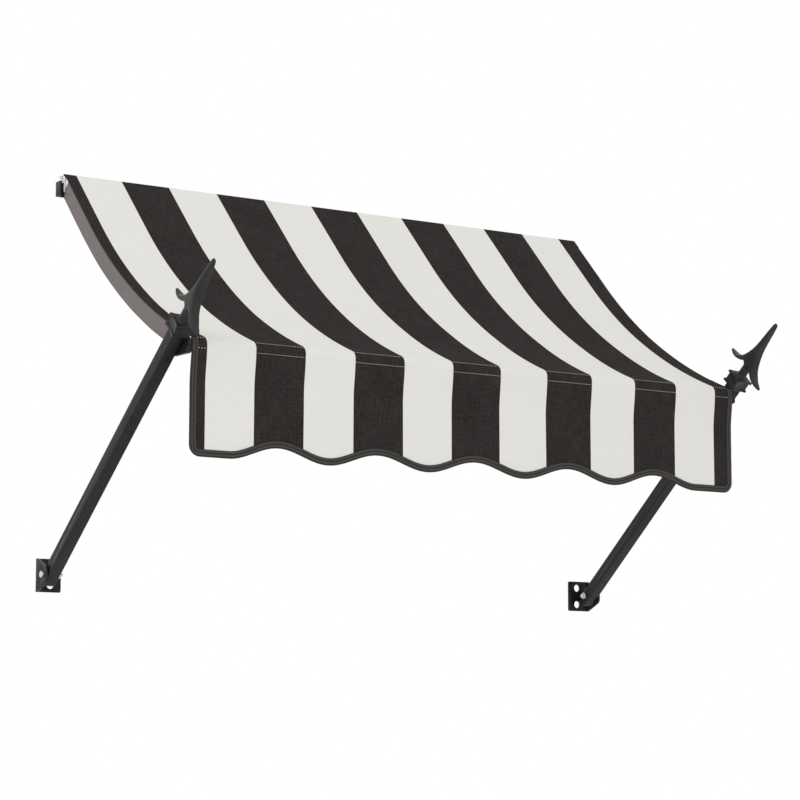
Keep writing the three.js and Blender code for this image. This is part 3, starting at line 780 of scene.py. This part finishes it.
# %% The braid as a piece
braid_mesh = mesh_of("valance_braid", braid_points, braid_faces, (braid,))
set_uv(braid_mesh, braid_uv)
braid_mesh.attributes.new("crest", "FLOAT", "POINT").data.foreach_set("value", crests)
turned = bmesh.new()
turned.from_mesh(braid_mesh)
bmesh.ops.recalc_face_normals(turned, faces=turned.faces)
turned.to_mesh(braid_mesh)
turned.free()
valance_braid = finish_piece(
    "valance_braid", braid_mesh, "frame", ["valance_binding"])
print("braid", round(travelled, 3), "m long")

# %% [markdown]
# ## Stitches
# A seam is hundreds of equal small stitches along a line. Geometry Nodes make them: the tree
# takes a line of edges, spaces points along it, and lays one short, thick piece of thread along
# the line at each. Its inputs are the spacing, the stitch's length, the thread's thickness and
# the thread itself. The result is turned into a plain mesh.


# %% Stitch tree
def stitch_tree():
    group = bpy.data.node_groups.new("seam_of_stitches", "GeometryNodeTree")
    group.interface.new_socket("Seam line", in_out="INPUT", socket_type="NodeSocketGeometry")
    for name, value in (("Spacing", 0.004), ("Stitch length", 0.0026), ("Thread thickness", 0.0007)):
        socket = group.interface.new_socket(name, in_out="INPUT", socket_type="NodeSocketFloat")
        socket.default_value = value
    group.interface.new_socket("Thread", in_out="INPUT", socket_type="NodeSocketMaterial")
    group.interface.new_socket("Stitches", in_out="OUTPUT", socket_type="NodeSocketGeometry")
    given = group.nodes.new("NodeGroupInput").outputs
    line = node(group, "GeometryNodeMeshToCurve", {"Mesh": given["Seam line"]}).outputs[0]
    spaced = node(group, "GeometryNodeResampleCurve", {
        "Curve": line, "Length": given["Spacing"]}, mode="LENGTH").outputs[0]
    tangent = node(group, "GeometryNodeInputTangent").outputs[0]
    turn = node(group, "FunctionNodeAlignRotationToVector", {"Vector": tangent}, axis="X").outputs[0]
    ball = node(group, "GeometryNodeMeshUVSphere", {"Segments": 6, "Rings": 5, "Radius": 0.5}).outputs[0]
    length, thick = given["Stitch length"], given["Thread thickness"]
    size = node(group, "ShaderNodeCombineXYZ", {"X": length, "Y": thick, "Z": thick}).outputs[0]
    stitch = node(group, "GeometryNodeTransform", {"Geometry": ball, "Scale": size}).outputs[0]
    laid = node(group, "GeometryNodeInstanceOnPoints", {
        "Points": spaced, "Instance": stitch, "Rotation": turn}).outputs[0]
    real = node(group, "GeometryNodeRealizeInstances", {"Geometry": laid}).outputs[0]
    smooth = node(group, "GeometryNodeSetShadeSmooth", {"Geometry": real}).outputs[0]
    coloured = node(group, "GeometryNodeSetMaterial", {
        "Geometry": smooth, "Material": given["Thread"]}).outputs[0]
    group.links.new(coloured, group.nodes.new("NodeGroupOutput").inputs[0])
    return group


SEAM_TREE = stitch_tree()
print("stitch tree of", len(SEAM_TREE.nodes), "nodes")

# %% [markdown]
# `sew` lays a seam. It builds the line of edges, hangs the tree on it with the seam's own sizes,
# takes a plain mesh from the result and removes the line again.


# %% Sew a seam
def sew(name, lines, thread, slot, **sizes):
    """Stitches along each line of points, as one plain piece."""
    spots = [p for line in lines for p in line]
    starts = np.cumsum([0] + [len(line) for line in lines])
    links = [(int(s) + k, int(s) + k + 1) for s, line in zip(starts, lines) for k in range(len(line) - 1)]
    guide = bpy.data.meshes.new(name)
    guide.from_pydata(spots, links, [])
    holder = bpy.data.objects.new(name + "_guide", guide)
    bpy.context.collection.objects.link(holder)
    modifier = holder.modifiers.new("seam", "NODES")
    modifier.node_group = SEAM_TREE
    values = {"Thread": thread, **{key.replace("_", " "): value for key, value in sizes.items()}}
    for item in SEAM_TREE.interface.items_tree:
        if item.in_out == "INPUT" and item.name in values:
            modifier[item.identifier] = values[item.name]
    graph = bpy.context.evaluated_depsgraph_get()
    made = bpy.data.meshes.new_from_object(holder.evaluated_get(graph))
    bpy.data.objects.remove(holder)
    made.name = name
    piece = finish_piece(name, made, "frame")
    print(name, len(made.polygons), "faces")
    return piece


# %% [markdown]
# Two rows of pale thread cross the canopy above and below the foremost line: they sew the bar's
# sleeve to its back. A row of dark thread holds the braid. Each line lies on the cloth's surface,
# so the thread is half sunk in it.

# %% Seams
SEAM_ENDS = HALF - 0.0105
SEAMS_UP = (BAR_UP + 0.0105, BAR_UP - 0.0052)
SEAM_SPOTS = 400
SEAM_LIFT = 0.0001  # off the cloth's face
BRAID_SEAM_IN, BRAID_SEAM_LIFT = 0.0084, 0.0013


def across_cloth(up, lift):
    line = []
    for x in np.linspace(-SEAM_ENDS, SEAM_ENDS, SEAM_SPOTS):
        out, direction = hang(up)
        lifted = lift + sway(x, up)
        line.append((x, -(out + lifted * math.sin(direction)), up + lifted * math.cos(direction)))
    return line


bar_lines = [across_cloth(up, SEAM_LIFT) for up in SEAMS_UP]
bar_seams = sew("bar_seam_stitches", bar_lines, pale_thread, slots["canopy"],
                Spacing=0.0050, Stitch_length=0.0024, Thread_thickness=0.0008)
braid_line = [on_valance(k, BRAID_SEAM_IN, BRAID_SEAM_LIFT) for k in range(len(OUTLINE))]
braid_seam = sew("braid_stitches", [braid_line], dark_thread, slots["valance_binding"],
                 Spacing=0.003, Stitch_length=0.0022, Thread_thickness=0.0006)

# %% [markdown]
# ## The sleeve round the front bar
# Behind the two seams a strip of dark canvas goes round the bar. It is a long open sheet whose
# section hugs the bar and reaches forward to the cloth at both seams.

# %% Bar sleeve
SLEEVE_HALF = 0.496
SLEEVE_R = 0.0116
SLEEVE_SPOTS = 160
TUCK = 0.0003  # small folds in it
# (degrees round the bar from its front, radius)
SLEEVE_SECTION = [(33, 0.0122), (41, 0.0118)] + [(a, SLEEVE_R) for a in range(50, 311, 10)] + [
    (318, 0.0118), (325, 0.0124), (331, 0.0133)]

sleeve_points, sleeve_uv = [], []
sleeve_xs = np.linspace(-SLEEVE_HALF, SLEEVE_HALF, SLEEVE_SPOTS)
arc = [0.0]
for (a, ra), (b, rb) in zip(SLEEVE_SECTION, SLEEVE_SECTION[1:]):
    arc.append(arc[-1] + math.hypot(rb - ra, (ra + rb) / 2 * math.radians(b - a)))
for x in sleeve_xs:
    for (degrees, radius), along in zip(SLEEVE_SECTION, arc):
        a = math.radians(degrees)
        tucked = radius + TUCK * noise.noise(Vector((x * 60, math.cos(a) * 2, degrees / 60)))
        sleeve_points.append((x, -(BAR_OUT + tucked * math.cos(a)), BAR_UP + tucked * math.sin(a)))
        sleeve_uv.append((x, along))
wide = len(SLEEVE_SECTION)
sleeve_faces = [(i * wide + j, (i + 1) * wide + j, (i + 1) * wide + j + 1, i * wide + j + 1)
                for i in range(len(sleeve_xs) - 1) for j in range(wide - 1)]
sleeve_mesh = mesh_of("bar_sleeve", sleeve_points, sleeve_faces, (dark_canvas,))
set_uv(sleeve_mesh, sleeve_uv)
sleeve = finish_piece("bar_sleeve", sleeve_mesh, "frame", ["bar_pocket"])
thick = sleeve.modifiers.new("cloth_thickness", "SOLIDIFY")
thick.thickness, thick.offset = CLOTH_T, 0
print("sleeve", round(arc[-1], 4), "m round")

# %% [markdown]
# The braid and the stitches go with the canopy: all hang on the same body.

# %% [markdown]
# ## Finials
# A cast spear head: a blade that opens into two swept petals, on a round stem. Seen from the side
# it is slender; across that view it is broad, so the petals are curved bands with rounded edges.
# The outline of the side view is filled with triangles and raised to both sides. The height rises
# in a quarter circle near the outline, which rounds the edges, and then stays at half the
# casting's breadth, which grows from the tip toward the petals. A wall along the outline joins
# both skins.

# %% Outline of a finial
TIP = 0.656  # along the arm, from its lower pin
STEM_FOOT = 0.5268
ARM_SLOPE = math.radians(39.7)
ARM_X = 0.526
PIN_OUT, PIN_UP = 0.026, -0.6325
STEM_R = 7.5  # from here on in millimetres, as in the drawing of the casting
FOOT_BEHIND = (TIP - STEM_FOOT) * 1000
COLLAR_BEHIND, FILLET, FILLET_LONG = 119.5, 4.3, 3.8  # the stem swells where it leaves the collar
LINE_STEP = 1.3
STEM_SPOTS, FOOT_SPOTS = 27, 5
# (from the axis, behind the tip), down one side and round one petal.
PETAL = [
    (1.4, 0), (3, 1.2), (3.5, 5), (3.3, 20), (3.4, 32),  # the blade
    (4, 43), (5.4, 55), (8.4, 66), (12.2, 75.6), (16.8, 84.5), (23.5, 92), (32.7, 97.3),  # its sweep
    (42, 99.3), (48.6, 99.8), (50.2, 101), (49.6, 103), (42, 103.6),  # the petal's end
    (33, 102.6), (25, 100), (16, 95.6), (9.5, 91), (7.5, 93),  # back to the stem
]


def rounded_line(spots, step):
    """A smooth line through the spots, cut into pieces of about one step."""
    p = np.array([spots[0]] + spots + [spots[-1]], float)
    line = [p[1]]
    for a, b, c, d in zip(p, p[1:], p[2:], p[3:]):
        for t in np.linspace(0, 1, max(round(math.dist(b, c) / step), 1) + 1)[1:]:
            line.append(b + 0.5 * t * ((c - a) + t * (2 * a - 5 * b + 4 * c - d + t * (3 * (b - c) + d - a))))
    return [tuple(q) for q in line]


def stem_radius(behind):
    return STEM_R + FILLET * np.exp(-(((behind - COLLAR_BEHIND) / FILLET_LONG) ** 2))


stem_line = np.linspace(PETAL[-1][1], FOOT_BEHIND, STEM_SPOTS)[1:]
one_side = rounded_line(PETAL, LINE_STEP) + list(zip(stem_radius(stem_line), stem_line))
one_side += [(STEM_R - STEM_R * k / FOOT_SPOTS, FOOT_BEHIND) for k in range(1, FOOT_SPOTS + 1)]
spear = np.array([(0, 0)] + one_side + [(-n, b) for n, b in reversed(one_side[:-1])])
print("outline of a finial:", len(spear), "points, petals", round(2 * spear[:, 0].max()), "mm across")

# %% [markdown]
# The skin needs to know how deep each of its points lies inside the outline. The distance to the
# nearest piece of the outline tells that, and a count of how often a level line from the point
# crosses the outline tells inside from outside.


# %% Depth inside the outline
def edge_distance(spots):
    """Distance of each spot from the outline, positive inside it."""
    best = np.full(len(spots), 1e9)
    crossings = np.zeros(len(spots), int)
    for p, q in zip(spear, np.roll(spear, -1, axis=0)):
        pq = q - p
        t = np.clip(((spots - p) @ pq) / max(pq @ pq, 1e-12), 0, 1)
        best = np.minimum(best, np.linalg.norm(spots - (p + t[:, None] * pq), axis=1))
        high = (p[1] > spots[:, 1]) != (q[1] > spots[:, 1])
        reach = p[0] + (spots[:, 1] - p[1]) * pq[0] / (pq[1] if pq[1] else 1e-12)
        crossings += high & (spots[:, 0] < reach)
    return np.where(crossings % 2 == 1, best, -best)


# %% Breadth of a finial
BREADTH = ((0, 1.2), (4, 2.8), (20, 5.4), (36, 6.8), (55, 7.6), (94, 7.6))  # (behind the tip, half breadth)
NARROWER = ((0, 1.0), (26, 1.0), (40, 0.68), (52, 0.22))  # (from the axis, share of that breadth)
ROUND_FROM, ROUND_WITHIN = 92, 4  # the flat blade turns into the round stem


def half_breadth(spots):
    """Half the casting's breadth at each spot, and how much of it is stem."""
    across = np.abs(spots[:, 0])
    blade = np.interp(spots[:, 1], *zip(*BREADTH)) * np.interp(across, *zip(*NARROWER))
    radius = stem_radius(spots[:, 1])
    stem = np.sqrt(np.clip(radius**2 - across**2, 0.01, None))
    share = np.clip((spots[:, 1] - ROUND_FROM) / ROUND_WITHIN, 0, 1) * (across <= radius + 0.01)
    return blade + (stem - blade) * share, share


# %% [markdown]
# The outline is filled with rings of points just inside it, which carry the rounded edge, and
# with an even pattern further in. A Delaunay triangulation joins them all.

# %% Points inside the outline
RINGS = (0.1, 0.35, 0.8, 1.3)  # how deep they lie
FILL_STEP, FILL_FROM = 1.6, 1.9
FILL_ACROSS, FILL_ALONG = 54, 132  # a little more than the casting


def spots_inside():
    previous, following = np.roll(spear, 1, axis=0), np.roll(spear, -1, axis=0)
    along = following - previous
    inward = np.stack([-along[:, 1], along[:, 0]], 1) / np.linalg.norm(along, axis=1)[:, None]
    if edge_distance(spear + inward * 0.3).mean() < 0:
        inward = -inward
    spots = []
    for depth in RINGS:
        ring_spots = spear + inward * depth
        spots.append(ring_spots[edge_distance(ring_spots) > depth * 0.93])
    level, upright = np.arange(-FILL_ACROSS, FILL_ACROSS, FILL_STEP), np.arange(0, FILL_ALONG, FILL_STEP)
    across, behind = np.meshgrid(level, upright)
    across = across + (np.arange(across.shape[0]) % 2)[:, None] * FILL_STEP / 2
    inside = np.stack([across.ravel(), behind.ravel()], 1)
    spots.append(inside[edge_distance(inside) > FILL_FROM])
    return spots


# %% Skin of a finial
EDGE_R = 1.7
RIDGE, RIDGE_WITHIN = 0.16, 4  # the blade rises on toward its middle


def casting():
    """Points (breadth, across, along the arm) and faces of the spear, in metres."""
    rim = len(spear)
    corners = [Vector(p) for p in np.concatenate([spear] + spots_inside())]
    verts, _, triangles, _, _, _ = delaunay_2d_cdt(corners, [], [list(range(rim))], 1, 1e-5)
    flat = np.array([tuple(v) for v in verts])
    depth = np.clip(edge_distance(flat), 0, None)
    depth[:rim] = 0
    breadth, on_stem = half_breadth(flat)
    edge = np.minimum(EDGE_R, breadth * 0.8)
    rounding = edge - np.sqrt(edge**2 - (edge - np.clip(depth, 0, edge))**2)
    ridge = RIDGE * np.clip(depth - EDGE_R, 0, RIDGE_WITHIN)
    height = breadth - rounding * (1 - on_stem) + ridge * (1 - on_stem)
    lengthwise = TIP * 1000 - flat[:, 1]
    skin = np.concatenate([np.stack([sign * height, flat[:, 0], lengthwise], 1) for sign in (1, -1)]) / 1000
    other = len(flat)
    faces = [tuple(t) for t in triangles] + [tuple(i + other for i in reversed(t)) for t in triangles]
    faces += [(k, k + other, (k + 1) % rim + other, (k + 1) % rim) for k in range(rim)]
    return skin, faces


SPEAR_SKIN, SPEAR_FACES = casting()
print("finial", len(SPEAR_SKIN), "points,", len(SPEAR_FACES), "faces")


# %% Place a finial
def arm_matrix(side):
    """From an arm's own frame (across, square to it, along it) to the awning's."""
    s, c = math.sin(ARM_SLOPE), math.cos(ARM_SLOPE)
    return Matrix(((1, 0, 0, side * ARM_X), (0, s, -c, -PIN_OUT), (0, c, s, PIN_UP), (0, 0, 0, 1)))


def closed(mesh, distance=1e-6):
    merged = bmesh.new()
    merged.from_mesh(mesh)
    bmesh.ops.remove_doubles(merged, verts=merged.verts, dist=distance)
    bmesh.ops.recalc_face_normals(merged, faces=merged.faces)
    merged.to_mesh(mesh)
    merged.free()


for name, side in (("left", -1), ("right", 1)):
    mesh = mesh_of(f"{name}_spear", SPEAR_SKIN, SPEAR_FACES, (cast_coat,))
    closed(mesh)
    mesh.transform(arm_matrix(side))
    closed(mesh)
    finish_piece(f"{name}_spear", mesh, f"{name}_arm", [f"{name}_finial"])
    print(name, "finial", len(mesh.polygons), "faces")

# %% [markdown]
# ## Metal parts
# The CAD shapes of the tubes, brackets, collars and bolts are right, but their edges are knife
# sharp. A real edge is always a little round and catches a thin line of light. Each of them is
# copied, its loose triangles are joined into whole faces, and a Bevel modifier rounds what is
# sharper than the facets of its curves.

# %% Rounded metal
FLAT_LIMIT = math.radians(0.6)  # triangles within this angle are one flat face
CURVE_LIMIT = math.radians(30)  # the facets of a curve meet at less


def rounded(node_name, radius, material, body):
    mesh = frame["nodes"][node_name].data.copy()
    joined = bmesh.new()
    joined.from_mesh(mesh)
    bmesh.ops.remove_doubles(joined, verts=joined.verts, dist=2e-6)
    bmesh.ops.dissolve_limit(joined, angle_limit=FLAT_LIMIT, verts=joined.verts, edges=joined.edges)
    joined.to_mesh(mesh)
    joined.free()
    mesh.materials.clear()
    mesh.materials.append(material)
    mesh.shade_smooth()
    piece = finish_piece(node_name + "_metal", mesh, body, [node_name])
    edge = piece.modifiers.new("rounded_edges", "BEVEL")
    edge.width, edge.segments = radius, 2
    edge.limit_method, edge.angle_limit = "ANGLE", CURVE_LIMIT
    edge.harden_normals = True


body_of_node = {n: b for b, nodes in frame["record"]["behaviour"]["bodies"].items() for n in nodes}
ROUNDED = {  # radius of its edges, finish
    "head_rail": (0.0003, drawn_aluminium),
    "front_bar": (0.0003, drawn_aluminium),
    "rafter": (0.0005, drawn_aluminium),
    "top_bracket": (0.0005, black_coat),
    "end_bracket": (0.0011, black_coat),
    "lower_bracket": (0.0005, black_coat),
    "arm": (0.0003, black_coat),
    "collar": (0.0007, cast_coat),
    "pivot_bolt": (0.0003, zinc_plate),
    "pivot_nut": (0.0003, zinc_plate),
    "upper_bolt": (0.0003, zinc_plate),
    "upper_nut": (0.0003, zinc_plate),
}
for node_name, body in body_of_node.items():
    kind = node_name.removeprefix("left_").removeprefix("right_")
    if kind in ROUNDED:
        rounded(node_name, *ROUNDED[kind], body)

# %% [markdown]
# The cord in the cloth's top hem keeps its CAD shape. Only its ends show, in the rail's groove.

# %% Hem cord
CORD_DARK, CORD_PALE = (0.42, 0.41, 0.38), (0.62, 0.61, 0.57)

cord_finish, tree, shader = new_material("hem_cord", 0.75)
where = node(tree, "ShaderNodeTexCoord").outputs["Object"]
strands = grain(tree, where, 1.0, 2.0, (300, 1200, 1200))
tree.links.new(blend_colour(tree, strands, CORD_DARK, CORD_PALE), shader.inputs["Base Color"])
bump(tree, shader, strands, 0.0002, 0.6)
hem_cord = frame["nodes"]["keder_cord"]
hem_cord.data.materials.clear()
hem_cord.data.materials.append(cord_finish)
print("hem cord", round(hem_cord.dimensions.x, 3), "m long")
